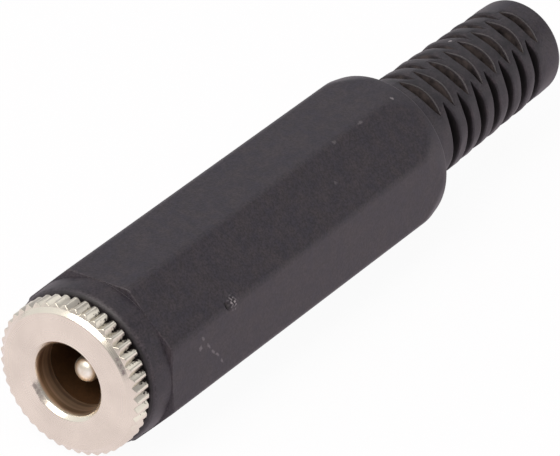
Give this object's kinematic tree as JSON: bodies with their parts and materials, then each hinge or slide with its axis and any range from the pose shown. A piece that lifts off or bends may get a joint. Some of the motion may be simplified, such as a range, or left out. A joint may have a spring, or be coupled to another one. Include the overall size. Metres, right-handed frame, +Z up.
{
  "type": "inline dc power jack",
  "caption": "Cable-mount DC power socket with a knurled metal front ring, a recessed centre pin, an eight-sided screw-on plastic cover and a slotted bend relief.",
  "frame": {"origin": "centre of the mating face on the socket's axis", "axes": "+X along the axis from the mating face to the cable end, +Z up with the cover lying on one of its flats"},
  "size_m": [0.0613, 0.0132, 0.0132],
  "materials": {
    "cover_plastic": "moulded black thermoplastic with a fine matt grain",
    "nickel_plate": "nickel-plated turned brass, straight knurl",
    "insulator_plastic": "moulded dark brown phenolic",
    "pin_plate": "nickel-plated turned brass pin",
    "tag_brass": "stamped brass",
    "spring_bronze": "rolled spring bronze",
    "tin_plate": "stamped brass with a dull tin plate"
  },
  "bodies": {
    "root": {"cover": "cover_plastic", "front_bushing": "nickel_plate", "insulator_body": "insulator_plastic", "centre_pin": "pin_plate", "centre_tag": "tag_brass", "sleeve_spring": "spring_bronze", "cable_clamp": "tin_plate"}
  },
  "joints": []
}
